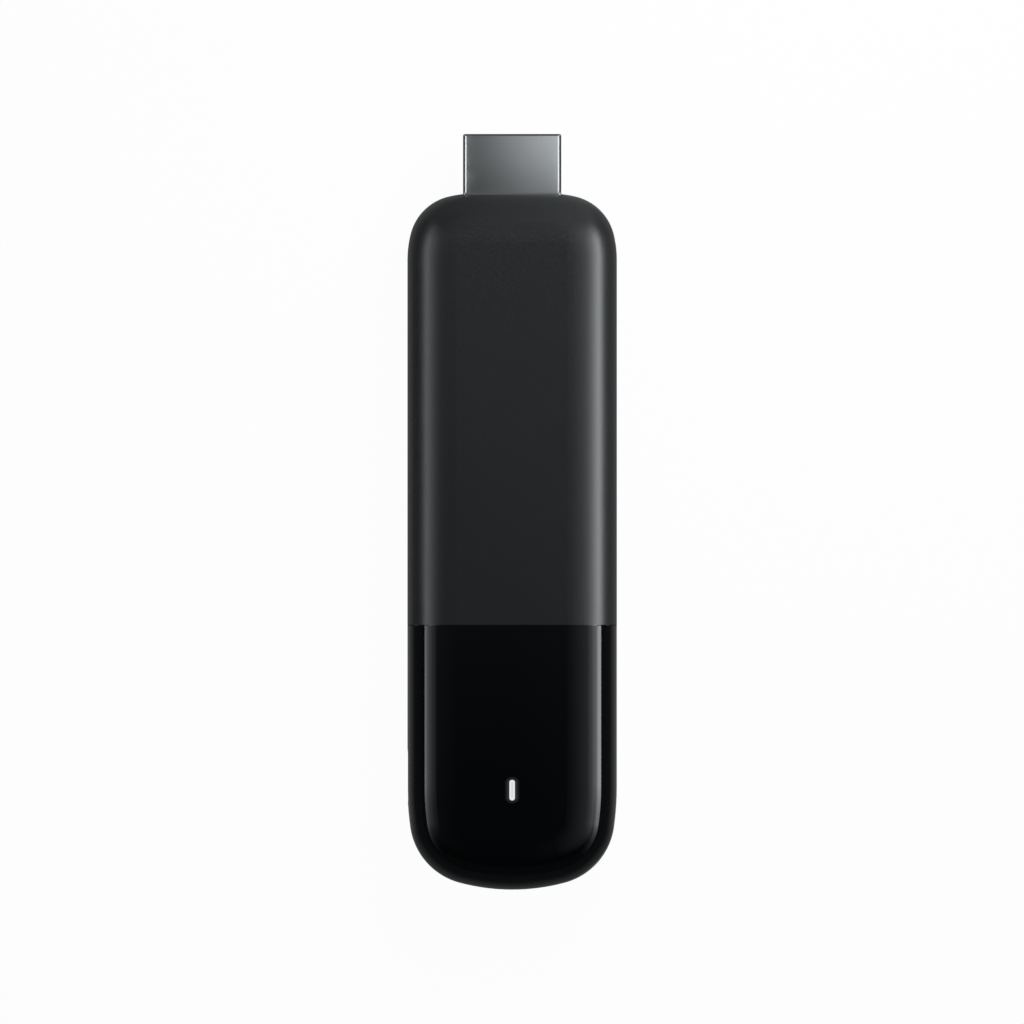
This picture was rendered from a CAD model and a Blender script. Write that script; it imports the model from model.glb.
"""Finishes and photo studio for a streaming media stick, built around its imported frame."""

import logging
import math
from collections.abc import Iterable
from dataclasses import dataclass, field
from enum import Enum

import bmesh
import bpy
from mathutils import Matrix, Vector


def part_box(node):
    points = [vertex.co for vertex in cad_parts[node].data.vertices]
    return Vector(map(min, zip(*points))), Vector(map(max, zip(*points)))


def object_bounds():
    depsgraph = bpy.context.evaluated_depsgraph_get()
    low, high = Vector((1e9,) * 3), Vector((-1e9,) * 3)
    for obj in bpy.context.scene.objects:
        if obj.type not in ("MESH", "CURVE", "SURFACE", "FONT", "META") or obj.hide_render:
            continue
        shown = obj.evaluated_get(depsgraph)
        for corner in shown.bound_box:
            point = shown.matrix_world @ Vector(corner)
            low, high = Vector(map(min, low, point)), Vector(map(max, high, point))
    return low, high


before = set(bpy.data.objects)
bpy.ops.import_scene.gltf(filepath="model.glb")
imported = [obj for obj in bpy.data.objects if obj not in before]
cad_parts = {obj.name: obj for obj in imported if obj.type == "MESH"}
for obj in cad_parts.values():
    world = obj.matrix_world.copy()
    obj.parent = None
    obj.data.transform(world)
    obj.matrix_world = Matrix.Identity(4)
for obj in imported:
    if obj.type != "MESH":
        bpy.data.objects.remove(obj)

CAD_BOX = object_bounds()
NODES: dict[str, bpy.types.Object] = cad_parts
MM = 0.001
NOISE_MEAN = 0.5

Node = bpy.types.Node
Piece = bpy.types.Object
Socket = bpy.types.NodeSocket
Pair = tuple[float, float]
Point = tuple[float, float, float]
Colour = tuple[float, float, float]
Feed = float | tuple[float, ...] | Socket

log = logging.getLogger("media_stick")


class NodeBench:
    """Adds and joins nodes in one node tree."""

    def __init__(self, tree: bpy.types.NodeTree) -> None:
        """Starts work on a node tree."""
        self.tree = tree

    def add(self, kind: str, **settings: object) -> Node:
        """Adds a shader node.

        Args:
            kind: Blender's type name without its ShaderNode prefix.
            settings: Values for the node's own properties.

        Returns:
            The new node.
        """
        node = self.tree.nodes.new("ShaderNode" + kind)
        for name, value in settings.items():
            setattr(node, name, value)
        return node

    def feed(self, socket: Socket, value: Feed) -> None:
        """Links a socket to another, or sets its own value.

        Args:
            socket: The input that is fed.
            value: The output that feeds it, or its value: a number, a vector or a colour.
        """
        if isinstance(value, Socket):
            self.tree.links.new(value, socket)
        elif socket.type == "RGBA":
            socket.default_value = (*value, 1.0)
        else:
            socket.default_value = value

    def feed_all(self, sockets: Iterable[Socket], values: Iterable[Feed]) -> None:
        """Feeds sockets in turn, as far as both lists go."""
        for socket, value in zip(sockets, values):
            self.feed(socket, value)

    def compute(self, operation: str, *feeds: Feed, clamp: bool = False) -> Socket:
        """Adds a Math node.

        Args:
            operation: The node's operation.
            feeds: Its operands.
            clamp: Whether the result is kept between 0 and 1.

        Returns:
            The result's socket.
        """
        node = self.add("Math", operation=operation, use_clamp=clamp)
        self.feed_all(node.inputs, feeds)
        return node.outputs[0]

    def times(self, first: Feed, second: Feed) -> Socket:
        """Gives the product of two values."""
        return self.compute("MULTIPLY", first, second)

    def minus(self, first: Feed, second: Feed) -> Socket:
        """Gives the first value less the second."""
        return self.compute("SUBTRACT", first, second)

    def hypotenuse(self, first: Feed, second: Feed) -> Socket:
        """Gives the root of two values' summed squares."""
        return self.compute("SQRT", self.compute("MULTIPLY_ADD", first, first, self.times(second, second)))

    def compute_vector(self, operation: str, *feeds: Feed) -> Socket:
        """Adds a Vector Math node.

        Args:
            operation: The node's operation.
            feeds: Its operands. With SCALE the second one is the factor.

        Returns:
            The result's socket.
        """
        node = self.add("VectorMath", operation=operation)
        sockets = [node.inputs[0], node.inputs["Scale"]] if operation == "SCALE" else node.inputs
        self.feed_all(sockets, feeds)
        return node.outputs["Value" if operation in ("LENGTH", "DOT_PRODUCT") else "Vector"]

    def scaled(self, vector: Feed, factor: Feed) -> Socket:
        """Gives a vector or colour times a factor."""
        return self.compute_vector("SCALE", vector, factor)

    def remap(self, value: Feed, low: float, high: float, start: Feed = 0.0, end: Feed = 1.0) -> Socket:
        """Eases a value from start to end as it goes from low to high.

        Args:
            value: What is remapped.
            low: The value at which the result is start.
            high: The value at which the result is end.
            start: The first result.
            end: The last result.

        Returns:
            The result's socket.
        """
        node = self.add("MapRange", interpolation_type="SMOOTHSTEP")
        self.feed_all(node.inputs, (value, low, high, start, end))
        return node.outputs["Result"]

    def mix_colours(self, share: Feed, first: Feed, second: Feed) -> Socket:
        """Mixes two colours.

        Args:
            share: How much of the second colour there is.
            first: The first colour.
            second: The second colour.

        Returns:
            The mixed colour's socket.
        """
        node = self.add("Mix", data_type="RGBA")
        self.feed_all((socket for socket in node.inputs if socket.enabled), (share, first, second))
        return next(socket for socket in node.outputs if socket.enabled)

    def mix_shaders(self, share: Feed, first: Node, second: Node) -> Node:
        """Mixes the light of two shader nodes.

        Args:
            share: How much of the second one there is.
            first: The first shader node.
            second: The second shader node.

        Returns:
            The mixing node.
        """
        node = self.add("MixShader")
        self.feed_all(node.inputs, (share, first.outputs[0], second.outputs[0]))
        return node

    def noise(self, vector: Feed, scale: Feed, detail: float = 2.0, roughness: float = 0.5) -> Socket:
        """Adds a noise texture.

        Args:
            vector: Where it is read.
            scale: How many of its features there are per metre.
            detail: How many octaves it has.
            roughness: How strong the finer octaves are.

        Returns:
            The noise value's socket, about NOISE_MEAN on average.
        """
        node = self.add("TexNoise")
        sockets = (node.inputs[name] for name in ("Vector", "Scale", "Detail", "Roughness"))
        self.feed_all(sockets, (vector, scale, detail, roughness))
        return node.outputs["Fac"]

    def cells(self, vector: Feed, scale: Feed) -> Node:
        """Adds a cell texture.

        Args:
            vector: Where it is read.
            scale: How many cells there are per metre.

        Returns:
            The texture's node.
        """
        node = self.add("TexVoronoi")
        self.feed_all((node.inputs["Vector"], node.inputs["Scale"]), (vector, scale))
        return node

    def place_in_frame(self) -> Socket:
        """Gives the shaded point's place in the frame, in metres."""
        return self.add("TexCoord").outputs["Object"]

    def axes(self, vector: Feed) -> list[Socket]:
        """Splits a vector.

        Args:
            vector: The vector.

        Returns:
            The sockets with its X, Y and Z.
        """
        node = self.add("SeparateXYZ")
        self.feed(node.inputs[0], vector)
        return list(node.outputs)


class MaterialBench(NodeBench):
    """Makes a material and works on its nodes."""

    def __init__(self, name: str) -> None:
        """Makes the material.

        Args:
            name: The material's name.
        """
        self.material = bpy.data.materials.new(name)
        self.material.use_nodes = True
        super().__init__(self.material.node_tree)
        self.shader = self.tree.nodes["Principled BSDF"]

    def give(self, **values: Feed) -> None:
        """Feeds the shader's inputs by name, with spaces as underscores."""
        for name, value in values.items():
            self.feed(self.shader.inputs[name.replace("_", " ")], value)

    def show(self, node: Node) -> None:
        """Makes the surface show another shader node's light."""
        self.feed(self.tree.nodes["Material Output"].inputs["Surface"], node.outputs[0])

    def emboss(self, height: Socket) -> None:
        """Gives the shader a relief.

        Args:
            height: The relief's height in metres.
        """
        bump = self.add("Bump")
        bump.inputs["Distance"].default_value = 1.0
        self.feed(bump.inputs["Height"], height)
        self.give(Normal=bump.outputs["Normal"])

    def roughen(self, start: float, *changes: tuple[Feed, float]) -> None:
        """Changes the roughness by masks.

        Args:
            start: The roughness where all masks are 0.
            changes: Masks, each with the change where it is 1.
        """
        total: Feed = start
        for mask, change in changes:
            total = self.compute("MULTIPLY_ADD", mask, change, total)
        self.give(Roughness=total)


class Effect(Enum):
    """Surface effects that several materials share, each a node group."""

    GRAIN = "moulded_grain"
    MARKS = "handling_marks"
    LINES = "drawn_lines"
    MOTTLE = "colour_mottle"
    SPECKS = "fine_specks"
    BANDS = "end_bands"
    SLOT = "light_slot"


@dataclass
class EffectLibrary:
    """Builds each effect's node group once and places it in materials."""

    groups: dict[Effect, bpy.types.NodeTree] = field(default_factory=dict)

    def place(self, bench: NodeBench, effect: Effect, **values: Feed) -> dict[str, Socket]:
        """Places an effect in a material.

        Args:
            bench: The material's node bench.
            effect: Which effect.
            values: The group's inputs by name, with spaces as underscores.

        Returns:
            The group's outputs by name.
        """
        if effect not in self.groups:
            self.groups[effect] = getattr(self, "build_" + effect.value)()
        node = bench.add("Group")
        node.node_tree = self.groups[effect]
        for name, value in values.items():
            bench.feed(node.inputs[name.replace("_", " ")], value)
        return {socket.name: socket for socket in node.outputs}

    def start(
        self, effect: Effect, inputs: dict[str, Feed], outputs: list[str]
    ) -> tuple[NodeBench, bpy.types.NodeOutputs, bpy.types.NodeInputs]:
        """Makes an effect's empty group.

        Args:
            effect: Which effect.
            inputs: Names and defaults of its inputs: a number or a vector.
            outputs: Names of its outputs, which are numbers.

        Returns:
            The group's bench, the sockets that give its inputs, and those that take its outputs.
        """
        tree = bpy.data.node_groups.new(effect.value, "ShaderNodeTree")
        for name, value in inputs.items():
            kind = "NodeSocketVector" if isinstance(value, tuple) else "NodeSocketFloat"
            socket = tree.interface.new_socket(name=name, in_out="INPUT", socket_type=kind)
            socket.default_value = value
        for name in outputs:
            tree.interface.new_socket(name=name, in_out="OUTPUT", socket_type="NodeSocketFloat")
        source = tree.nodes.new("NodeGroupInput")
        drain = tree.nodes.new("NodeGroupOutput")
        return NodeBench(tree), source.outputs, drain.inputs

    def build_moulded_grain(self) -> bpy.types.NodeTree:
        """Fine texture of a spark-eroded mould: a height in metres and a fleck value.

        Returns:
            The node group.
        """
        inputs = {"Size": 0.1 * MM, "Depth": 0.002 * MM}
        bench, given, taken = self.start(Effect.GRAIN, inputs, ["Height", "Fleck"])
        scale = bench.compute("DIVIDE", 1.0, given["Size"])
        place = bench.place_in_frame()
        noise = bench.noise(place, scale, detail=3.0, roughness=0.6)
        cells = bench.cells(place, scale).outputs["Distance"]
        noise_share = 0.6
        relief = bench.compute("ADD", bench.times(noise, noise_share), bench.times(cells, 1 - noise_share))
        bench.feed(taken["Height"], bench.times(relief, given["Depth"]))
        bench.feed(taken["Fleck"], bench.remap(noise, low=0.35, high=0.65))
        return bench.tree

    def build_handling_marks(self) -> bpy.types.NodeTree:
        """Marks of use: soft smudges, and hairline scratches that run one way.

        Returns:
            The node group.
        """
        inputs = {"Reach": 10 * MM, "Amount": 1.0, "Stretch": (9000.0, 90.0, 900.0)}
        bench, given, taken = self.start(Effect.MARKS, inputs, ["Smudge", "Scratch"])
        place = bench.place_in_frame()
        scale = bench.compute("DIVIDE", 1.0, given["Reach"])
        smudge = bench.remap(bench.noise(place, scale, detail=6.0, roughness=0.62), low=0.48, high=0.72)
        bench.feed(taken["Smudge"], bench.times(smudge, given["Amount"]))
        stretched = bench.compute_vector("MULTIPLY", place, given["Stretch"])
        lines = bench.remap(bench.noise(stretched, 1.0, detail=0.0), low=0.74, high=0.8)
        patch_coarseness = 0.6
        patch_scale = bench.times(scale, patch_coarseness)
        patches = bench.remap(bench.noise(place, patch_scale), low=0.5, high=0.62)
        bench.feed(taken["Scratch"], bench.times(bench.times(lines, patches), given["Amount"]))
        return bench.tree

    def build_drawn_lines(self) -> bpy.types.NodeTree:
        """Lines of drawn, rolled or brushed sheet: a tone about 0.5 and a height in metres.

        Returns:
            The node group.
        """
        inputs = {"Stretch": (12000.0, 300.0, 12000.0), "Depth": 0.0005 * MM}
        bench, given, taken = self.start(Effect.LINES, inputs, ["Tone", "Height"])
        place = bench.compute_vector("MULTIPLY", bench.place_in_frame(), given["Stretch"])
        tone = bench.noise(place, 1.0, detail=4.0, roughness=0.7)
        bench.feed(taken["Tone"], tone)
        bench.feed(taken["Height"], bench.times(tone, given["Depth"]))
        return bench.tree

    def build_colour_mottle(self) -> bpy.types.NodeTree:
        """Slow change of tone over a surface, as a factor about 1.

        Returns:
            The node group.
        """
        inputs = {"Size": 10 * MM, "Spread": 0.1}
        bench, given, taken = self.start(Effect.MOTTLE, inputs, ["Tone"])
        scale = bench.compute("DIVIDE", 1.0, given["Size"])
        noise = bench.noise(bench.place_in_frame(), scale, detail=5.0, roughness=0.55)
        gain = 4.0
        swing = bench.times(bench.minus(noise, NOISE_MEAN), gain)
        bench.feed(taken["Tone"], bench.compute("MULTIPLY_ADD", swing, given["Spread"], 1.0))
        return bench.tree

    def build_fine_specks(self) -> bpy.types.NodeTree:
        """Scattered specks, such as dust, pores or vias, as a mask.

        Returns:
            The node group.
        """
        inputs = {"Spacing": 2 * MM, "Radius": 0.04 * MM, "Share": 0.3}
        bench, given, taken = self.start(Effect.SPECKS, inputs, ["Specks"])
        cells = bench.cells(bench.place_in_frame(), bench.compute("DIVIDE", 1.0, given["Spacing"]))
        reach = bench.compute("DIVIDE", given["Radius"], given["Spacing"])
        near = bench.compute("LESS_THAN", cells.outputs["Distance"], reach)
        pick = bench.axes(cells.outputs["Color"])[0]
        kept = bench.compute("LESS_THAN", pick, given["Share"])
        bench.feed(taken["Specks"], bench.times(near, kept))
        return bench.tree

    def build_end_bands(self) -> bpy.types.NodeTree:
        """Bands at both ends of small blocks that repeat along Y, as a mask.

        Returns:
            The node group.
        """
        inputs = {"First": 0.0, "Pitch": 2 * MM, "Bare": 0.6 * MM}
        bench, given, taken = self.start(Effect.BANDS, inputs, ["Band"])
        along = bench.minus(bench.axes(bench.place_in_frame())[1], given["First"])
        phase = bench.compute("PINGPONG", along, bench.times(given["Pitch"], 0.5))
        edge = bench.times(given["Bare"], 0.5)
        bench.feed(taken["Band"], bench.compute("GREATER_THAN", phase, edge))
        return bench.tree

    def build_light_slot(self) -> bpy.types.NodeTree:
        """Distance across the face from the edge of a round-ended slot, negative inside it.

        Returns:
            The node group.
        """
        sizes = {"Half width": 0.4 * MM, "Half length": 1.5 * MM, "End stretch": 1.0}
        bench, given, taken = self.start(Effect.SLOT, {"Centre": (0.0, 0.0, 0.0), **sizes}, ["Away"])
        offset = bench.compute_vector("SUBTRACT", bench.place_in_frame(), given["Centre"])
        x, y, _ = bench.axes(bench.compute_vector("ABSOLUTE", offset))
        straight = bench.minus(given["Half length"], given["Half width"])
        beyond = bench.compute("MAXIMUM", bench.minus(y, straight), 0.0)
        past = bench.times(beyond, given["End stretch"])
        bench.feed(taken["Away"], bench.minus(bench.hypotenuse(x, past), given["Half width"]))
        return bench.tree


class FinishBench(MaterialBench):
    """Bench of a finish's material, where the shared effects are placed too."""

    def __init__(self, name: str, effects: EffectLibrary) -> None:
        """Makes the material, with the library that its shared effects come from."""
        super().__init__(name)
        self.effects = effects

    def place(self, effect: Effect, **values: Feed) -> dict[str, Socket]:
        """Places an effect with its inputs by name, and gives its outputs by name."""
        return self.effects.place(self, effect, **values)


@dataclass(frozen=True)
class Finish:
    """What every finish has, and how its material is made."""

    name: str
    slot: str
    colour: Colour
    roughness: float
    specular: float = 0.5
    metallic: float = 0.0
    ior: float = 1.5

    def material(self, effects: EffectLibrary) -> bpy.types.Material:
        """Makes the finish's material.

        Args:
            effects: Where its shared effects come from.

        Returns:
            The new material.
        """
        bench = FinishBench(self.name, effects)
        bench.give(
            Base_Color=self.colour,
            Roughness=self.roughness,
            Specular_IOR_Level=self.specular,
            Metallic=self.metallic,
            IOR=self.ior,
        )
        self.shade(bench)
        return bench.material

    def shade(self, bench: FinishBench) -> None:
        """Adds what changes over the surface; each finish has its own."""
        raise NotImplementedError

    def toned(self, bench: FinishBench, size: float, spread: float) -> Socket:
        """Gives the finish's colour with changes of tone of this size and spread."""
        return bench.scaled(self.colour, bench.place(Effect.MOTTLE, Size=size, Spread=spread)["Tone"])


@dataclass(frozen=True)
class MouldedPlastic(Finish):
    """Moulded plastic with a fine mould texture, slow changes of tone and marks of use."""

    grain_size: float = 0.12 * MM
    grain_depth: float = 0.001 * MM
    fleck_tones: Pair = (0.94, 1.06)
    smudges: float = 0.5
    dust_veil: Pair = (0.05, 0.8)
    dust_cover: float = 0.35

    def shade(self, bench: FinishBench) -> None:
        """Adds grain, mottle, smudges, scratches and a little dust.

        Args:
            bench: The material's bench.
        """
        grain = bench.place(Effect.GRAIN, Size=self.grain_size, Depth=self.grain_depth)
        marks = bench.place(Effect.MARKS, Reach=9 * MM, Amount=self.smudges)
        dust = bench.place(Effect.SPECKS, Spacing=2.4 * MM, Radius=0.03 * MM, Share=0.2)
        plain = self.toned(bench, size=6 * MM, spread=0.05)
        flecked = bench.scaled(plain, bench.remap(grain["Fleck"], 0.0, 1.0, *self.fleck_tones))
        grey, clear = self.dust_veil
        dusty = tuple(grey + clear * part for part in self.colour)
        share = bench.times(dust["Specks"], self.dust_cover)
        bench.give(Base_Color=bench.mix_colours(share, flecked, dusty))
        changes = ((marks["Smudge"], -0.05), (grain["Fleck"], 0.03), (marks["Scratch"], -0.08))
        bench.roughen(self.roughness, *changes)
        bench.emboss(grain["Height"])


@dataclass(frozen=True, kw_only=True)
class GlossPlastic(Finish):
    """Polished plastic with the faint glow of the lamp behind it round the light slot."""

    centre: Point
    half_lit: Pair
    glow: Colour = (0.044, 0.046, 0.048)
    glow_reach: float = 0.8 * MM
    glow_end_stretch: float = 1.25
    face_height: float = 15 * MM
    dust_colour: Colour = (0.03, 0.03, 0.03)
    dust_cover: float = 0.2

    def shade(self, bench: FinishBench) -> None:
        """Adds polish marks, smudges, dust and the glow.

        Args:
            bench: The material's bench.
        """
        marks = bench.place(Effect.MARKS, Reach=12 * MM, Amount=0.5)
        waves = bench.place(Effect.GRAIN, Size=3 * MM, Depth=0.0006 * MM)
        dust = bench.place(Effect.SPECKS, Spacing=3 * MM, Radius=0.03 * MM, Share=0.12)
        plain = self.toned(bench, size=8 * MM, spread=0.05)
        share = bench.times(dust["Specks"], self.dust_cover)
        bench.give(Base_Color=bench.mix_colours(share, plain, self.dust_colour))
        changes = ((marks["Smudge"], 0.03), (marks["Scratch"], 0.06), (dust["Specks"], 0.3))
        bench.roughen(self.roughness, *changes)
        bench.emboss(waves["Height"])
        bench.give(Emission_Color=bench.scaled(self.glow, self.glow_mask(bench)), Emission_Strength=1.0)

    def glow_mask(self, bench: FinishBench) -> Socket:
        """Masks the surface that glows round the slot.

        Args:
            bench: The material's bench.

        Returns:
            The mask's socket: 1 at the slot's edge, 0 beyond the glow's reach.
        """
        width, length = self.half_lit
        sizes = {"Half_width": width, "Half_length": length, "End_stretch": self.glow_end_stretch}
        slot = bench.place(Effect.SLOT, Centre=self.centre, **sizes)
        left = bench.compute("MULTIPLY_ADD", slot["Away"], -1 / self.glow_reach, 1.0, clamp=True)
        height = bench.axes(bench.place_in_frame())[2]
        on_face = bench.compute("GREATER_THAN", height, self.face_height)
        return bench.times(bench.times(left, left), on_face)


@dataclass(frozen=True, kw_only=True)
class LitPlastic(Finish):
    """Milky clear plastic, lit from behind, a little dimmer along its middle and unlit at its edge."""

    centre: Point
    half_lit: Pair
    half_core: Pair = (0.2 * MM, 1.2 * MM)
    even_core: Pair = (0.2, 0.8)
    core_light: Colour = (0.61, 0.62, 0.63)
    rim_light: Colour = (0.74, 0.75, 0.76)
    unlit: Colour = (0.03, 0.031, 0.033)
    edge: float = 0.03 * MM

    def shade(self, bench: FinishBench) -> None:
        """Adds the light and the plastic's own slight clouding.

        Args:
            bench: The material's bench.
        """
        offset = bench.compute_vector("SUBTRACT", bench.place_in_frame(), self.centre)
        across, along, _ = bench.axes(bench.compute_vector("ABSOLUTE", offset))
        side, end = (
            bench.remap(place, even * half, half)
            for place, even, half in zip((across, along), self.even_core, self.half_core)
        )
        light = bench.mix_colours(bench.compute("MAXIMUM", side, end), self.core_light, self.rim_light)
        width, length = self.half_lit
        slot = bench.place(Effect.SLOT, Centre=self.centre, Half_width=width, Half_length=length)
        lit = bench.remap(slot["Away"], self.edge, -self.edge)
        cloud = bench.place(Effect.MOTTLE, Size=0.8 * MM, Spread=0.02)["Tone"]
        bench.give(Emission_Color=bench.scaled(light, bench.times(lit, cloud)), Emission_Strength=1.0)
        plain = self.toned(bench, size=0.5 * MM, spread=0.02)
        bench.give(Base_Color=bench.mix_colours(lit, self.unlit, plain))


@dataclass(frozen=True)
class SheetMetal(Finish):
    """Plated or bare sheet with drawn lines, slight tarnish and scuffs."""

    metallic: float = 1.0
    line_stretch: Point = (14000.0, 260.0, 14000.0)
    line_depth: float = 0.0004 * MM
    line_tone: float = 0.06
    line_swing: float = 0.12
    scuff: float = 0.12
    scuff_stretch: float = 0.5
    tarnish: Colour = (0.3, 0.28, 0.25)
    tarnish_share: float = 0.15

    def shade(self, bench: FinishBench) -> None:
        """Adds lines, tarnish, scuffs and fingermarks.

        Args:
            bench: The material's bench.
        """
        lines = bench.place(Effect.LINES, Stretch=self.line_stretch, Depth=self.line_depth)
        stretch = tuple(self.scuff_stretch * part for part in self.line_stretch)
        marks = bench.place(Effect.MARKS, Reach=4 * MM, Amount=1.0, Stretch=stretch)
        ends = {"start": 1 - self.line_tone, "end": 1 + self.line_tone}
        tone = bench.remap(lines["Tone"], low=0.3, high=0.7, **ends)
        plain = bench.scaled(self.toned(bench, size=5 * MM, spread=0.03), tone)
        share = bench.times(marks["Smudge"], self.tarnish_share)
        bench.give(Base_Color=bench.mix_colours(share, plain, self.tarnish))
        swing = bench.minus(lines["Tone"], NOISE_MEAN)
        changes = ((swing, self.line_swing), (marks["Smudge"], 0.05), (marks["Scratch"], -self.scuff))
        bench.roughen(self.roughness, *changes)
        bench.emboss(lines["Height"])


@dataclass(frozen=True)
class BoardMask(Finish):
    """Solder mask over copper traces, with tinned vias."""

    copper: Colour = (0.03, 0.13, 0.06)
    via: Colour = (0.55, 0.53, 0.48)
    via_metal: float = 0.9
    patch: float = 6 * MM
    turned_share: float = 0.5
    bare_share: float = 0.35
    trace_pitch: float = 0.6 * MM
    trace_edge: Pair = (0.16 * MM, 0.19 * MM)
    trace_height: float = 0.02 * MM

    def shade(self, bench: FinishBench) -> None:
        """Adds traces under the mask, vias and the mask's orange peel.

        Args:
            bench: The material's bench.
        """
        traces = self.traces(bench)
        vias = bench.place(Effect.SPECKS, Spacing=1.5 * MM, Radius=0.16 * MM, Share=0.4)["Specks"]
        masked = bench.mix_colours(traces, self.toned(bench, size=4 * MM, spread=0.05), self.copper)
        bench.give(Base_Color=bench.mix_colours(vias, masked, self.via))
        bench.give(Metallic=bench.times(vias, self.via_metal))
        peel = bench.place(Effect.GRAIN, Size=0.3 * MM, Depth=0.002 * MM)
        bench.roughen(self.roughness, (peel["Fleck"], 0.06), (vias, -0.1))
        bench.emboss(bench.compute("MULTIPLY_ADD", traces, self.trace_height, peel["Height"]))

    def traces(self, bench: FinishBench) -> Socket:
        """Masks the traces, which run along X or Y in patches, some of them bare.

        Args:
            bench: The material's bench.

        Returns:
            The mask's socket.
        """
        place = bench.place_in_frame()
        x, y, _ = bench.axes(place)
        lot, other_lot, _ = bench.axes(bench.cells(place, 1 / self.patch).outputs["Color"])
        turned = bench.compute("GREATER_THAN", lot, self.turned_share)
        straight = bench.times(bench.minus(1.0, turned), x)
        across = bench.compute("MULTIPLY_ADD", turned, y, straight)
        phase = bench.compute("PINGPONG", across, self.trace_pitch / 2)
        filled = bench.compute("GREATER_THAN", other_lot, self.bare_share)
        return bench.times(bench.remap(phase, *self.trace_edge), filled)


@dataclass(frozen=True)
class ChipPackage(Finish):
    """Moulded chip package, with a matte top and paler filler grains."""

    filler: Colour = (0.06, 0.06, 0.062)
    filler_cover: float = 0.5

    def shade(self, bench: FinishBench) -> None:
        """Adds filler grains, flow marks and a fine texture.

        Args:
            bench: The material's bench.
        """
        grain = bench.place(Effect.GRAIN, Size=0.05 * MM, Depth=0.002 * MM)
        filler = bench.place(Effect.SPECKS, Spacing=0.12 * MM, Radius=0.025 * MM, Share=0.5)["Specks"]
        plain = self.toned(bench, size=2 * MM, spread=0.06)
        share = bench.times(filler, self.filler_cover)
        bench.give(Base_Color=bench.mix_colours(share, plain, self.filler))
        bench.roughen(self.roughness, (grain["Fleck"], 0.08), (filler, -0.15))
        bench.emboss(grain["Height"])


@dataclass(frozen=True)
class SoftFiller(Finish):
    """Silicone pad or foam, with pores of its own size."""

    pore_spacing: float = 0.25 * MM
    pore_radius: float = 0.05 * MM
    pore_depth: float = 0.02 * MM
    pore_tone: float = 0.5

    def shade(self, bench: FinishBench) -> None:
        """Adds pores, mottle and a soft grain.

        Args:
            bench: The material's bench.
        """
        sizes = {"Spacing": self.pore_spacing, "Radius": self.pore_radius}
        pores = bench.place(Effect.SPECKS, Share=0.7, **sizes)["Specks"]
        grain = bench.place(Effect.GRAIN, Size=0.15 * MM, Depth=0.006 * MM)
        plain = self.toned(bench, size=3 * MM, spread=0.08)
        dark = tuple(self.pore_tone * part for part in self.colour)
        bench.give(Base_Color=bench.mix_colours(pores, plain, dark))
        bench.roughen(self.roughness, (grain["Fleck"], 0.08))
        bench.emboss(bench.compute("MULTIPLY_ADD", pores, -self.pore_depth, grain["Height"]))


@dataclass(frozen=True, kw_only=True)
class EndPlatedBlock(Finish):
    """Small fired or pressed block with tinned ends."""

    first: float
    pitch: float
    bare: float
    tin: Colour = (0.62, 0.61, 0.58)

    def shade(self, bench: FinishBench) -> None:
        """Adds the tinned ends and the body's fired grain.

        Args:
            bench: The material's bench.
        """
        band = bench.place(Effect.BANDS, First=self.first, Pitch=self.pitch, Bare=self.bare)["Band"]
        grain = bench.place(Effect.GRAIN, Size=0.06 * MM, Depth=0.003 * MM)
        plain = self.toned(bench, size=0.7 * MM, spread=0.1)
        bench.give(Base_Color=bench.mix_colours(band, plain, self.tin), Metallic=band)
        bench.roughen(self.roughness, (grain["Fleck"], 0.1), (band, -0.12))
        bench.emboss(grain["Height"])


MATTE_BLACK = MouldedPlastic(
    "matte_black_moulding", "matte_black", (0.0105, 0.012, 0.013), roughness=0.33, specular=0.65, ior=1.7
)
SATIN_INSULATOR = MouldedPlastic(
    "insulator_moulding",
    "insulator_black",
    (0.012, 0.012, 0.013),
    roughness=0.36,
    specular=0.4,
    grain_size=0.07 * MM,
    smudges=0.2,
)
PLUG_STEEL = SheetMetal(
    "plug_sheet",
    "plug_steel",
    (0.6, 0.605, 0.61),
    roughness=0.2,
    line_tone=0.008,
    line_swing=0.03,
    line_depth=0.0001 * MM,
    scuff=0.04,
    tarnish_share=0.04,
)
CONTACT_GOLD = SheetMetal(
    "contact_gold_plate",
    "contact_gold",
    (0.83, 0.6, 0.25),
    roughness=0.24,
    tarnish=(0.45, 0.27, 0.1),
    tarnish_share=0.2,
)
SHIELD_TIN = SheetMetal(
    "shield_tin_plate", "shield_tin", (0.62, 0.62, 0.6), roughness=0.33, line_stretch=(400.0, 9000.0, 400.0)
)
SPREADER = SheetMetal(
    "spreader_mill_sheet",
    "spreader_aluminium",
    (0.72, 0.72, 0.73),
    roughness=0.38,
    line_stretch=(9000.0, 200.0, 9000.0),
)
SCREW_ZINC = SheetMetal(
    "screw_zinc_plate", "screw_steel", (0.5, 0.5, 0.51), roughness=0.34, tarnish=(0.34, 0.32, 0.22)
)
BOARD = BoardMask("board_solder_mask", "board_mask", (0.01, 0.06, 0.03), roughness=0.34)
PACKAGE = ChipPackage(
    "chip_package", "package_black", (0.018, 0.018, 0.02), roughness=0.55, specular=0.4
)
FERRITE = ChipPackage(
    "pressed_ferrite", "ferrite_grey", (0.09, 0.09, 0.095), roughness=0.6, filler=(0.16, 0.16, 0.17)
)
SILICONE = SoftFiller("silicone_pad", "pad_grey", (0.3, 0.32, 0.34), roughness=0.62, specular=0.3)
FOAM = SoftFiller(
    "closed_foam",
    "foam_black",
    (0.015, 0.015, 0.016),
    roughness=0.8,
    specular=0.2,
    pore_spacing=0.18 * MM,
    pore_radius=0.07 * MM,
)


FinishList = tuple[tuple[Finish, tuple[str, ...]], ...]


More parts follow.
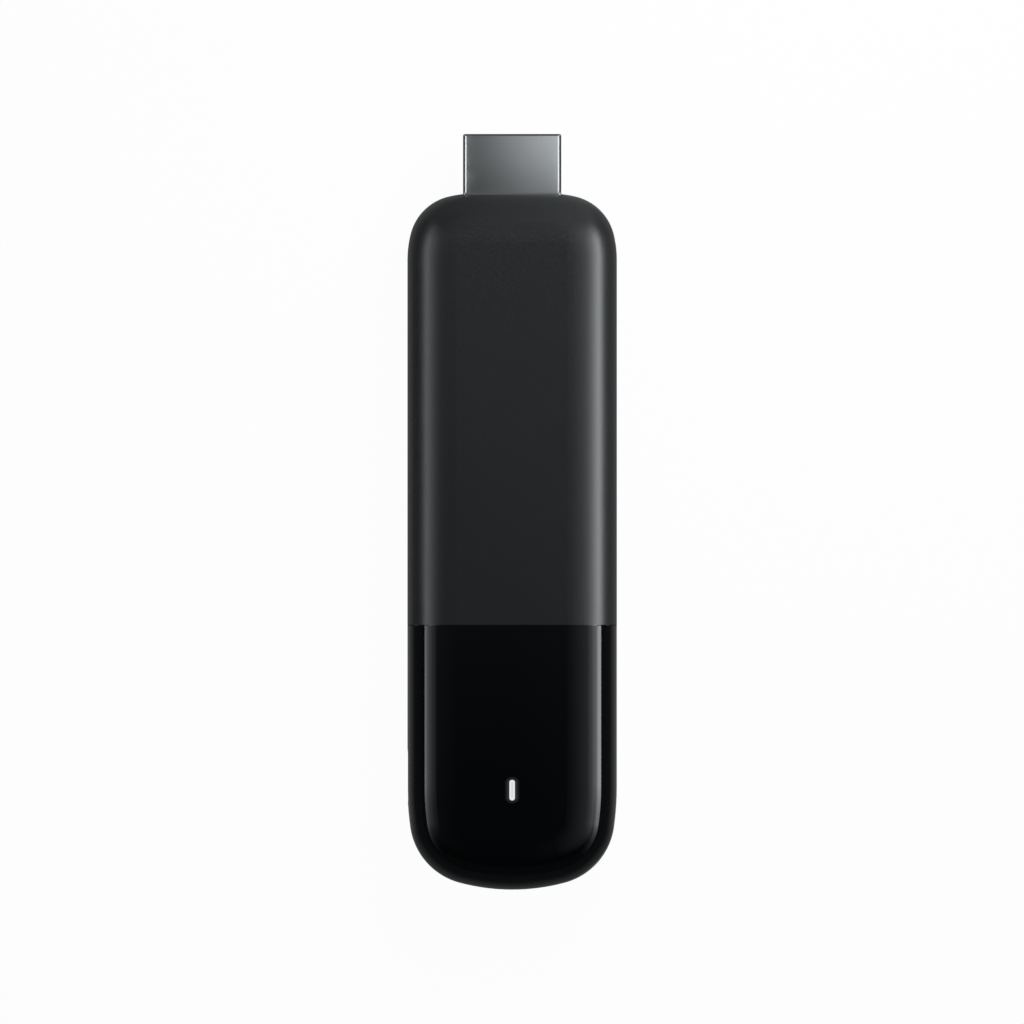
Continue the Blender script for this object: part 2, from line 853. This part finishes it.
@dataclass
class SubAssembly:
    """Pieces of the stick that belong together, each dressed in its finish."""

    effects: EffectLibrary
    finishes: FinishList = ()

    def build(self) -> list[Piece]:
        """Dresses the nodes that its finishes name."""
        return [piece for finish, names in self.finishes for piece in self.dress(finish, *names)]

    def dress(self, finish: Finish, *names: str) -> list[Piece]:
        """Gives nodes one finish all over.

        Args:
            finish: Their finish.
            names: The nodes' names.

        Returns:
            The dressed pieces.
        """
        material = bpy.data.materials.get(finish.name) or finish.material(self.effects)
        pieces = [NODES[name] for name in names]
        for piece in pieces:
            for index in range(len(piece.data.materials)):
                piece.data.materials[index] = material
            if not piece.data.materials:
                piece.data.materials.append(material)
        return pieces


@dataclass
class Housing(SubAssembly):
    """Rear cover and matte front cover."""

    finishes: FinishList = ((MATTE_BLACK, ("rear_cover", "front_cover")),)


@dataclass
class LightWindow(SubAssembly):
    """Gloss cap, the light pipe in its slot, the lamp below and the foam round it."""

    finishes: FinishList = ((FOAM, ("light_gasket",)),)
    half_lit: Pair = (0.39 * MM, 1.46 * MM)
    lit_shift: float = 0.115 * MM

    def build(self) -> list[Piece]:
        """Dresses the cap, the pipe, the foam and the lamp, lit a little off the slot's middle.

        Returns:
            The dressed pieces.
        """
        low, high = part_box("light_pipe")
        centre = ((low.x + high.x) / 2, (low.y + high.y) / 2 + self.lit_shift, 0.0)
        gloss = GlossPlastic(
            "gloss_black_moulding",
            "gloss_black",
            (0.0012, 0.0018, 0.0024),
            roughness=0.06,
            ior=1.54,
            centre=centre,
            half_lit=self.half_lit,
        )
        lit = LitPlastic(
            "lit_clear_moulding",
            "light_white",
            (0.1, 0.103, 0.107),
            roughness=0.25,
            centre=centre,
            half_lit=self.half_lit,
        )
        made = self.dress(gloss, "window_cap")
        made += self.dress(lit, "light_pipe", "status_led")
        return made + super().build()


@dataclass
class Connectors(SubAssembly):
    """Video plug and power port: their shells, insulators and contacts."""

    finishes: FinishList = (
        (PLUG_STEEL, ("video_plug_shell", "usb_shell")),
        (SATIN_INSULATOR, ("video_plug_insulator", "usb_insulator")),
        (CONTACT_GOLD, ("plug_contacts_front", "plug_contacts_rear", "usb_contacts")),
    )


@dataclass
class Electronics(SubAssembly):
    """Circuit board with everything soldered or screwed to it."""

    finishes: FinishList = (
        (BOARD, ("main_board", "wireless_module")),
        (PACKAGE, ("processor", "memory_chips", "flash_chip", "power_chip")),
        (SHIELD_TIN, ("clock_crystal", "wireless_module_can", "antenna_left", "antenna_right")),
        (FERRITE, ("power_inductors",)),
        (SCREW_ZINC, ("board_screws",)),
    )
    bare_share: float = 0.55

    def build(self) -> list[Piece]:
        """Dresses the boards, chips, blocks, radio parts and screws.

        Returns:
            The dressed pieces.
        """
        made = super().build()
        made += self.end_plated("ceramic_capacitors", (0.32, 0.22, 0.14), length=1 * MM, pitch=2 * MM)
        return made + self.end_plated("line_filters", (0.12, 0.1, 0.09), length=2 * MM, pitch=4 * MM)

    def end_plated(self, name: str, colour: Colour, length: float, pitch: float) -> list[Piece]:
        """Dresses blocks in rows along Y, with tinned ends.

        Args:
            name: The blocks' node.
            colour: The colour of their middles.
            length: A block's length along Y.
            pitch: From one block of a row to the next.

        Returns:
            The dressed piece, in a list.
        """
        low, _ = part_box(name)
        finish = EndPlatedBlock(
            name + "_fired",
            "ceramic_tan",
            colour,
            roughness=0.5,
            first=low.y + length / 2,
            pitch=pitch,
            bare=self.bare_share * length,
        )
        return self.dress(finish, name)


@dataclass
class HeatPath(SubAssembly):
    """Shields, pads and spreaders over the chips."""

    finishes: FinishList = (
        (SHIELD_TIN, ("front_shield_frame", "front_shield_lid", "rear_shield_can")),
        (
            SILICONE,
            ("processor_thermal_pad", "flash_thermal_pad", "front_thermal_pad", "rear_thermal_pad"),
        ),
        (SPREADER, ("front_heat_spreader", "rear_heat_spreader")),
    )


class Side(Enum):
    """Sides of the stick, seen from the front."""

    LEFT = -1
    RIGHT = 1


def add_object(name: str, data: bpy.types.ID) -> Piece:
    """Puts an object into the scene.

    Args:
        name: The object's name.
        data: Its mesh, lamp or camera.

    Returns:
        The new object.
    """
    made = bpy.data.objects.new(name, data)
    bpy.context.scene.collection.objects.link(made)
    return made


def add_form(name: str, form: bmesh.types.BMesh) -> Piece:
    """Puts a form into the scene.

    Args:
        name: The object's name.
        form: Its faces, which are freed.

    Returns:
        The new object.
    """
    mesh = bpy.data.meshes.new(name)
    form.to_mesh(mesh)
    form.free()
    return add_object(name, mesh)


def softbox(name: str, size: Pair, radiance: float = 1.0) -> bpy.types.AreaLight:
    """Makes a rectangular softbox's light.

    Args:
        name: Its name.
        size: Its two sides.
        radiance: How bright its face is.

    Returns:
        The light's data.
    """
    data = bpy.data.lights.new(name, "AREA")
    data.shape = "RECTANGLE"
    data.size, data.size_y = size
    data.energy = radiance * math.pi * data.size * data.size_y
    return data


def show_only_in_reflections(piece: Piece) -> None:
    """Hides a piece of the studio from all rays but reflections."""
    for rays in ("camera", "diffuse", "transmission", "shadow", "volume_scatter"):
        setattr(piece, "visible_" + rays, False)


def white_rays(bench: NodeBench) -> Socket:
    """Masks the rays that see the background as white: straight, mirrored and through glass.

    Args:
        bench: The bench of the floor or the world.

    Returns:
        The mask's socket.
    """
    path = bench.add("LightPath").outputs
    seen = bench.compute("ADD", path["Is Camera Ray"], path["Is Glossy Ray"], clamp=True)
    return bench.compute("ADD", seen, path["Is Transmission Ray"], clamp=True)


@dataclass(frozen=True)
class SideStrip:
    """Tall softbox beside the stick, brightest at its lower edge, that fades upwards and at its ends."""

    name: str
    side: Side
    radiance: float
    low_angle: float
    full_angle: float
    fade_angle: float
    high_angle: float = 40.0
    distance: float = 0.3
    length: float = 0.7
    even: Pair = (-0.04, 0.1)
    end_fades: Pair = (0.056, 0.1)
    base: float = 12 * MM
    tint: Colour = (0.95, 0.98, 1.0)

    def build(self) -> Piece:
        """Makes the lamp, which lights reflections alone.

        Returns:
            The lamp.
        """
        low = self.height_at(self.low_angle)
        high = self.height_at(self.high_angle)
        data = softbox(self.name, (self.length, high - low))
        data.color = self.tint
        data.use_nodes = True
        bench = NodeBench(data.node_tree)
        bench.feed(bench.tree.nodes["Emission"].inputs["Strength"], self.strength(bench))
        lamp = add_object(self.name, data)
        back = Vector((self.side.value, 0, 0))
        up = Vector((0, 0, 1))
        turn = Matrix((up.cross(back), up, back)).transposed().to_4x4()
        place = Vector((self.side.value * self.distance, 0, (low + high) / 2))
        lamp.matrix_world = Matrix.Translation(place) @ turn
        lamp.visible_diffuse = False
        return lamp

    def height_at(self, angle: float) -> float:
        """Height at which the stick's rim sees the lamp under an angle in degrees."""
        return self.base + self.distance * math.tan(math.radians(angle))

    def strength(self, bench: NodeBench) -> Socket:
        """Fades the light with the angle at which the stick sees it, and past its even stretch.

        Args:
            bench: The lamp's bench.

        Returns:
            The strength's socket.
        """
        _, along, height = bench.axes(bench.add("NewGeometry").outputs["Position"])
        angle = bench.compute("ARCTAN2", bench.minus(height, self.base), self.distance)
        past = bench.minus(angle, math.radians(self.full_angle))
        upward = bench.compute("DIVIDE", past, math.radians(self.fade_angle))
        before = bench.compute("DIVIDE", bench.minus(self.even[0], along), self.end_fades[0])
        beyond = bench.compute("DIVIDE", bench.minus(along, self.even[1]), self.end_fades[1])
        end_loss = bench.compute("MAXIMUM", bench.compute("MAXIMUM", before, beyond), 0.0)
        loss = bench.compute("ADD", bench.compute("MAXIMUM", upward, 0.0), end_loss)
        return bench.times(bench.compute("EXPONENT", bench.times(loss, -1.0)), self.radiance)


@dataclass(frozen=True)
class Panel:
    """Plain softbox that faces a point of the stick and doesn't show in reflections."""

    name: str
    place: Point
    aim: Point
    size: Pair
    radiance: float

    def build(self) -> Piece:
        """Makes the lamp.

        Returns:
            The lamp.
        """
        lamp = add_object(self.name, softbox(self.name, self.size, self.radiance))
        lamp.location = self.place
        away = Vector(self.place) - Vector(self.aim)
        lamp.rotation_euler = away.to_track_quat("Z", "Y").to_euler()
        lamp.visible_glossy = False
        return lamp


@dataclass(frozen=True)
class GlowCard:
    """Card that only reflections show, with a glow that changes over it."""

    name: str
    tint: Colour = (0.93, 0.98, 1.0)

    def corners(self) -> list[Point]:
        """The card's four corners in turn; each card has its own."""
        raise NotImplementedError

    def glow(self, bench: NodeBench) -> Feed:
        """The glow's strength by place; each card has its own."""
        raise NotImplementedError

    def turn(self, first: Pair, second: Pair) -> list[Pair]:
        """Pairs the ends of two ranges, in turn round a rectangle."""
        return [(first[0], second[0]), (first[1], second[0]), (first[1], second[1]), (first[0], second[1])]

    def build(self) -> Piece:
        """Makes the card.

        Returns:
            The card.
        """
        form = bmesh.new()
        form.faces.new([form.verts.new(corner) for corner in self.corners()])
        card = add_form(self.name, form)
        bench = MaterialBench(self.name)
        light = bench.add("Emission")
        bench.feed_all(light.inputs, (self.tint, self.glow(bench)))
        bench.show(light)
        card.data.materials.append(bench.material)
        show_only_in_reflections(card)
        return card


@dataclass(frozen=True)
class PlugCard(GlowCard):
    """Level card above the plug, brighter to the right, with a bright bar at both of its sides."""

    height: float = 19 * MM
    x: Pair = (-17 * MM, 17 * MM)
    y: Pair = (45.08 * MM, 55 * MM)
    gradient: Pair = (-12 * MM, 16 * MM)
    radiance: Pair = (0.02, 0.97)
    fade: Pair = (44 * MM, 54 * MM)
    dimmest: float = 0.45
    bar_start: float = 7.4 * MM
    bar_radiance: float = 1.6

    def corners(self) -> list[Point]:
        """The four corners above the plug."""
        return [(x, y, self.height) for x, y in self.turn(self.x, self.y)]

    def glow(self, bench: NodeBench) -> Socket:
        """Brighter to the right and towards the plug's tip, and brightest in the bars.

        Args:
            bench: The card's bench.

        Returns:
            The strength's socket.
        """
        x, y, _ = bench.axes(bench.place_in_frame())
        rightward = bench.remap(x, *self.gradient, *self.radiance)
        centre = bench.times(rightward, bench.remap(y, *self.fade, self.dimmest, 1.0))
        in_bar = bench.compute("GREATER_THAN", bench.compute("ABSOLUTE", x), self.bar_start)
        return bench.compute("MAXIMUM", centre, bench.times(in_bar, self.bar_radiance))


@dataclass(frozen=True)
class PlugDivider(GlowCard):
    """Upright card that hides the plug's card from the housing's top edge."""

    y: float = 45.05 * MM
    x: Pair = (-17 * MM, 17 * MM)
    z: Pair = (10.2 * MM, 19 * MM)
    gradient: Pair = (-16 * MM, 16 * MM)
    radiance: Pair = (0.09, 0.28)

    def corners(self) -> list[Point]:
        """The four corners above the line where plug and housing meet."""
        return [(x, self.y, z) for x, z in self.turn(self.x, self.z)]

    def glow(self, bench: NodeBench) -> Socket:
        """Brighter to the right."""
        return bench.remap(bench.axes(bench.place_in_frame())[0], *self.gradient, *self.radiance)


@dataclass(frozen=True, kw_only=True)
class PlugFlag(GlowCard):
    """Upright black card beside the plug, which keeps a dark line along the plug's side."""

    side: Side
    away: float = 12 * MM
    y: Pair = (45.08 * MM, 55 * MM)
    z: Pair = (10.2 * MM, 15 * MM)
    radiance: float = 0.02

    def corners(self) -> list[Point]:
        """The four corners beside the plug."""
        return [(self.side.value * self.away, y, z) for y, z in self.turn(self.y, self.z)]

    def glow(self, bench: NodeBench) -> float:
        """The same all over."""
        return self.radiance


@dataclass(frozen=True)
class Ceiling(GlowCard):
    """Dim overhead diffuser, brighter to the right and towards the plug end."""

    height: float = 0.26
    reach: Pair = (-0.6, 0.6)
    dimmest: float = 0.012
    y_range: Pair = (-0.06, 0.062)
    y_end: Pair = (0.12, 0.42)
    y_rise: float = 0.128
    right_rise: float = 1.3
    left_rise: float = 0.17
    side_range: Pair = (-0.42, -0.04)

    def corners(self) -> list[Point]:
        """The four corners overhead."""
        return [(x, y, self.height) for x, y in self.turn(self.reach, self.reach)]

    def glow(self, bench: NodeBench) -> Socket:
        """Rises straight to both sides, more to the right, and softly along the stick.

        Args:
            bench: The card's bench.

        Returns:
            The strength's socket.
        """
        x, y, _ = bench.axes(bench.place_in_frame())
        sides = bench.compute("MAXIMUM", bench.times(x, self.right_rise), bench.times(x, -self.left_rise))
        sides = bench.times(sides, bench.remap(y, *self.side_range))
        rise = bench.remap(y, *self.y_range, 0.0, self.y_rise)
        rise = bench.times(rise, bench.remap(y, *self.y_end, 1.0, 0.0))
        return bench.compute("ADD", bench.compute("ADD", sides, self.dimmest), rise)


@dataclass(frozen=True)
class GroundSheet:
    """Large square sheet on the ground under the stick."""

    half: float = 3.0
    cells: int = 8

    def lay(self, name: str, height: float) -> Piece:
        """Makes the sheet.

        Args:
            name: The object's name.
            height: How high it lies.

        Returns:
            The sheet.
        """
        form = bmesh.new()
        bmesh.ops.create_grid(form, x_segments=self.cells, y_segments=self.cells, size=self.half)
        bmesh.ops.translate(form, verts=form.verts, vec=(0, 0, height))
        return add_form(name, form)

    def gap_from(self, bench: NodeBench, box: tuple[Vector, Vector], inset: float = 0.0) -> Socket:
        """Measures how far a point of the ground lies from a box's plan.

        Args:
            bench: The material's bench.
            box: The box's lowest and highest corners.
            inset: How much its plan is drawn in on all sides.

        Returns:
            The distance's socket, 0 inside the plan.
        """
        middle = (box[0] + box[1]) / 2
        half = (box[1] - box[0]) / 2
        offset = bench.compute_vector("SUBTRACT", bench.place_in_frame(), tuple(middle))
        plan = (half.x - inset, half.y - inset, 0.0)
        past = bench.compute_vector("SUBTRACT", bench.compute_vector("ABSOLUTE", offset), plan)
        x, y, _ = bench.axes(bench.compute_vector("MAXIMUM", past, (0.0, 0.0, 0.0)))
        return bench.hypotenuse(x, y)


@dataclass(frozen=True)
class Floor(GroundSheet):
    """Pale floor that takes the stick's shadow and is white to whoever looks at it."""

    depth: float = 0.02 * MM
    white: float = 0.9
    glow: float = 0.97
    white_range: Pair = (0.1, 0.3)
    shadow_inset: float = 13 * MM
    shadow_range: Pair = (6 * MM, 13 * MM)
    shadow_least: float = 0.35

    def build(self) -> Piece:
        """Lays the floor, with a soft shadow under the stick's rounded sides.

        Returns:
            The floor.
        """
        made = self.lay("floor", -self.depth)
        bench = MaterialBench("pale_floor")
        bench.give(Base_Color=(self.white,) * 3, Roughness=0.9, Specular_IOR_Level=0.0)
        away = bench.compute_vector("LENGTH", bench.place_in_frame())
        open_glow = bench.remap(away, *self.white_range, self.glow, 1.0)
        below = self.gap_from(bench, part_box("rear_cover"), self.shadow_inset)
        glow = bench.times(open_glow, bench.remap(below, *self.shadow_range, self.shadow_least, 1.0))
        share = bench.times(white_rays(bench), glow)
        bench.show(bench.mix_shaders(share, bench.shader, bench.add("Emission")))
        made.data.materials.append(bench.material)
        return made


DARK_FABRIC: dict[str, Feed] = {
    "Base_Color": (0.0, 0.0, 0.0),
    "Roughness": 1.0,
    "Specular_IOR_Level": 0.0,
    "Emission_Color": (0.9, 0.97, 1.0),
}


@dataclass(frozen=True)
class BlackCloth(GroundSheet):
    """Black cloth on the floor, thin near the stick, that darkens the lower reflections."""

    height: float = 0.05 * MM
    light: float = 0.05
    thick_range: Pair = (6 * MM, 24 * MM)
    side_cover: float = 0.83
    end_cover: float = 0.93
    end_range: Pair = (-53 * MM, -40 * MM)
    right_rim_gain: float = 0.1
    right_rim_reach: float = 3 * MM
    right_rim_range: Pair = (-12 * MM, 13 * MM)
    plug_cover: float = 0.96
    plug_from: float = 46 * MM
    plug_half: float = 7.5 * MM

    def build(self) -> Piece:
        """Lays the cloth.

        Returns:
            The cloth.
        """
        made = self.lay("black_cloth", self.height)
        show_only_in_reflections(made)
        bench = MaterialBench("black_cloth")
        bench.give(**DARK_FABRIC, Alpha=self.cover(bench), Emission_Strength=self.light)
        made.data.materials.append(bench.material)
        return made

    def cover(self, bench: NodeBench) -> Socket:
        """Thins the cloth near the stick, a little more along its right side, but not by its plug.

        Args:
            bench: The cloth's bench.

        Returns:
            The socket with the cloth's cover, up to 1.
        """
        x, y, _ = bench.axes(bench.place_in_frame())
        away = self.gap_from(bench, (Vector(CAD_BOX[0]), Vector(CAD_BOX[1])))
        least = bench.remap(y, *self.end_range, self.end_cover, self.side_cover)
        gain = bench.remap(away, self.right_rim_reach, 0.0, 0.0, self.right_rim_gain)
        least = bench.minus(least, bench.times(gain, bench.remap(x, *self.right_rim_range)))
        round_body = bench.remap(away, *self.thick_range, least, 1.0)
        by_plug = bench.compute("LESS_THAN", bench.compute("ABSOLUTE", x), self.plug_half)
        past_body = bench.compute("GREATER_THAN", y, self.plug_from)
        round_plug = bench.times(bench.times(by_plug, past_body), self.plug_cover)
        return bench.compute("MAXIMUM", round_body, round_plug)


@dataclass(frozen=True)
class DarkTent:
    """Dark tent over the set, so that the flat faces reflect almost nothing."""

    radius: float = 2.0
    rings: int = 24
    hem: float = -0.05
    light: float = 0.03
    fill: float = 0.2
    fill_aim: Point = (-0.64, 0.64, 0.42)
    fill_range: Pair = (0.8, 0.98)

    def build(self) -> Piece:
        """Makes the tent, a little lighter where it fills the plug's left side.

        Returns:
            The tent.
        """
        form = bmesh.new()
        bmesh.ops.create_uvsphere(
            form, u_segments=2 * self.rings, v_segments=self.rings, radius=self.radius
        )
        below = [vert for vert in form.verts if vert.co.z < self.hem * self.radius]
        bmesh.ops.delete(form, geom=below, context="VERTS")
        made = add_form("dark_tent", form)
        show_only_in_reflections(made)
        bench = MaterialBench("dark_tent")
        toward = bench.compute_vector("NORMALIZE", bench.place_in_frame())
        aim = bench.compute_vector("DOT_PRODUCT", toward, tuple(Vector(self.fill_aim).normalized()))
        light = bench.remap(aim, *self.fill_range, self.light, self.light + self.fill)
        bench.give(**DARK_FABRIC, Emission_Strength=light)
        made.data.materials.append(bench.material)
        return made


@dataclass(frozen=True)
class Surround:
    """White world with a plain soft light on the stick."""

    ambient: float = 0.25
    white: Colour = (1.0, 1.0, 1.0)

    def build(self) -> bpy.types.World:
        """Makes the world.

        Returns:
            The world.
        """
        world = bpy.data.worlds.new("white_surround")
        bpy.context.scene.world = world
        world.use_nodes = True
        bench = NodeBench(world.node_tree)
        soft = bench.tree.nodes["Background"]
        bench.feed_all(soft.inputs, (self.white, self.ambient))
        seen = bench.add("Background")
        bench.feed_all(seen.inputs, (self.white, 1.0))
        mixed = bench.mix_shaders(white_rays(bench), soft, seen)
        bench.feed(bench.tree.nodes["World Output"].inputs["Surface"], mixed.outputs[0])
        return world


@dataclass(frozen=True)
class PhotoCamera:
    """Long lens straight above the stick, at the photograph's scale."""

    frame_width: float = 144.76 * MM
    frame_centre: Pair = (-0.022 * MM, -0.016 * MM)
    silhouette_height: float = 7.7 * MM
    lens: float = 1500.0
    sensor: float = 36.0

    def build(self) -> Piece:
        """Makes the scene's camera.

        Returns:
            The camera.
        """
        data = bpy.data.cameras.new("photo_camera")
        data.lens = self.lens
        data.sensor_width = self.sensor
        made = add_object("photo_camera", data)
        distance = self.frame_width * self.lens / self.sensor
        made.location = (*self.frame_centre, self.silhouette_height + distance)
        bpy.context.scene.camera = made
        return made


@dataclass(frozen=True)
class Studio:
    """Ground, cards that only reflections show, surround, lamps and camera."""

    ground: tuple[Floor | BlackCloth | DarkTent, ...] = (Floor(), BlackCloth(), DarkTent())
    cards: tuple[GlowCard, ...] = (
        PlugCard("plug_card"),
        PlugDivider("plug_divider"),
        Ceiling("dim_ceiling"),
        PlugFlag("left_flag", side=Side.LEFT),
        PlugFlag("right_flag", side=Side.RIGHT),
    )
    lamps: tuple[SideStrip | Panel, ...] = (
        SideStrip("left_strip", Side.LEFT, radiance=3.1, low_angle=8.9, full_angle=8.9, fade_angle=10.0),
        SideStrip("right_strip", Side.RIGHT, radiance=5.6, low_angle=4.4, full_angle=12.4, fade_angle=7.6),
        Panel(
            "key_panel", place=(0.06, 0.11, 0.14), aim=(0.0, 0.03, 0.01), size=(0.12, 0.12), radiance=4.3
        ),
    )

    def build(self) -> list[Piece]:
        """Builds the whole studio.

        Returns:
            The staged objects, which aren't part of the stick.
        """
        bpy.context.scene.view_settings.view_transform = "Standard"
        staged = [part.build() for part in (*self.ground, *self.cards)]
        for part in (Surround(), *self.lamps, PhotoCamera()):
            part.build()
        return staged


def main() -> None:
    """Dresses every sub-assembly, then builds the studio round the stick."""
    logging.basicConfig(level=logging.INFO, format="%(name)s: %(message)s")
    effects = EffectLibrary()
    for kind in (Housing, LightWindow, Connectors, Electronics, HeatPath):
        for piece in kind(effects).build():
            log.info("%s: %s, %d faces", kind.__name__, piece.name, len(piece.data.polygons))
    for piece in Studio().build():
        log.info("Studio: %s", piece.name)


if __name__ == "__main__":
    main()
